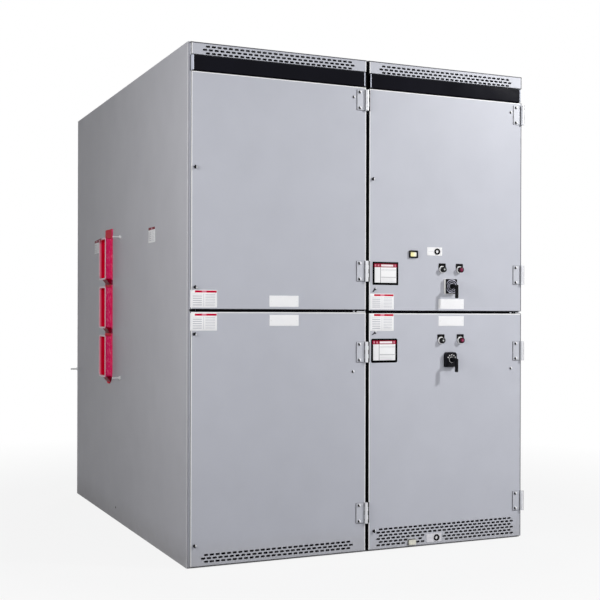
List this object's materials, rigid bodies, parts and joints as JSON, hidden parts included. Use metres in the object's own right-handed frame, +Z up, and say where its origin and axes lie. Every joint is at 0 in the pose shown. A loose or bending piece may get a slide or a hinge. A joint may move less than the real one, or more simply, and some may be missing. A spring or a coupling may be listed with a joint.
{
  "type": "automatic transfer switch cabinet",
  "caption": "Floor-standing sheet-steel transfer switch cabinet: two sections side by side, hinged doors, vented fascia, control devices, moulded bus boots on its side.",
  "frame": {"origin": "on the floor, at the middle of the frame's footprint, the sheet-metal box without its doors and rear covers", "axes": "+Z up, front towards -Y, +X to the right as seen from the front, along the row of sections"},
  "size_m": [1.8965, 2.402, 2.413],
  "materials": {
    "grey_paint": "satin powder coat, light blue-grey",
    "gloss_black": "glossy black strip",
    "hinge_metal": "painted with the doors, bright at the knuckles",
    "bright_metal": "zinc-plated steel",
    "moulded_red": "red moulded glass-polyester, semi-gloss",
    "black_plastic": "black moulded plastic",
    "white_plate": "white laminated plate",
    "beige_plastic": "ivory moulded plastic"
  },
  "bodies": {
    "enclosure": {"left_side_sheet": "grey_paint", "centre_sheets": "grey_paint", "right_side_sheet": "grey_paint", "left_roof": "grey_paint", "right_roof": "grey_paint", "left_floor": "grey_paint", "right_floor": "grey_paint", "left_mid_shelf": "grey_paint", "right_mid_shelf": "grey_paint", "front_posts": "grey_paint", "rear_posts": "grey_paint", "left_front_rails": "grey_paint", "right_front_rails": "grey_paint", "rear_rails": "grey_paint", "left_upper_rear_cover": "grey_paint", "left_lower_rear_cover": "grey_paint", "right_upper_rear_cover": "grey_paint", "right_lower_rear_cover": "grey_paint", "left_fascia": "grey_paint", "right_fascia": "grey_paint", "left_black_band": "gloss_black", "right_black_band": "gloss_black", "frame_hinge_leaves": "hinge_metal", "bus_barrier": "moulded_red", "upper_bus_boot": "moulded_red", "middle_bus_boot": "moulded_red", "lower_bus_boot": "moulded_red", "joining_studs": "bright_metal"},
    "upper_left_door_body": {"upper_left_door": "grey_paint", "upper_left_hinge_leaves": "hinge_metal"},
    "lower_left_door_body": {"lower_left_door": "grey_paint", "lower_left_hinge_leaves": "hinge_metal"},
    "upper_right_door_body": {"upper_right_door": "grey_paint", "upper_right_hinge_leaves": "hinge_metal", "indicator_window": "black_plastic", "upper_ring_plate": "white_plate", "upper_dark_lamp": "black_plastic", "upper_red_lamp": "black_plastic", "upper_switch_plate": "black_plastic"},
    "lower_right_door_body": {"lower_right_door": "grey_paint", "lower_right_hinge_leaves": "hinge_metal", "lower_ring_plate": "white_plate", "outlet_block": "beige_plastic", "lower_dark_lamp": "black_plastic", "lower_red_lamp": "black_plastic", "lower_switch_plate": "black_plastic"},
    "upper_handle": {"upper_switch_handle": "black_plastic"},
    "lower_handle": {"lower_switch_handle": "black_plastic"}
  },
  "joints": [
    {"name": "upper_left_door_hinge", "type": "hinge", "parent": "enclosure", "child": "upper_left_door_body", "pos_m": [-0.0075, -1.177, 1.73175], "axis": [0, 0, 1], "range_deg": [0, 110]},
    {"name": "lower_left_door_hinge", "type": "hinge", "parent": "enclosure", "child": "lower_left_door_body", "pos_m": [-0.0075, -1.177, 0.59325], "axis": [0, 0, 1], "range_deg": [0, 110]},
    {"name": "upper_right_door_hinge", "type": "hinge", "parent": "enclosure", "child": "upper_right_door_body", "pos_m": [0.9065, -1.177, 1.72775], "axis": [0, 0, 1], "range_deg": [0, 110]},
    {"name": "lower_right_door_hinge", "type": "hinge", "parent": "enclosure", "child": "lower_right_door_body", "pos_m": [0.9065, -1.177, 0.59125], "axis": [0, 0, 1], "range_deg": [0, 110]},
    {"name": "upper_handle_turn", "type": "hinge", "parent": "upper_right_door_body", "child": "upper_handle", "pos_m": [0.468, -1.188, 1.308], "axis": [0, -1, 0], "range_deg": [-45, 45], "stiffness_Nm_per_rad": 0.6},
    {"name": "lower_handle_turn", "type": "hinge", "parent": "lower_right_door_body", "child": "lower_handle", "pos_m": [0.468, -1.188, 0.938], "axis": [0, -1, 0], "range_deg": [-45, 45], "stiffness_Nm_per_rad": 0.6}
  ]
}
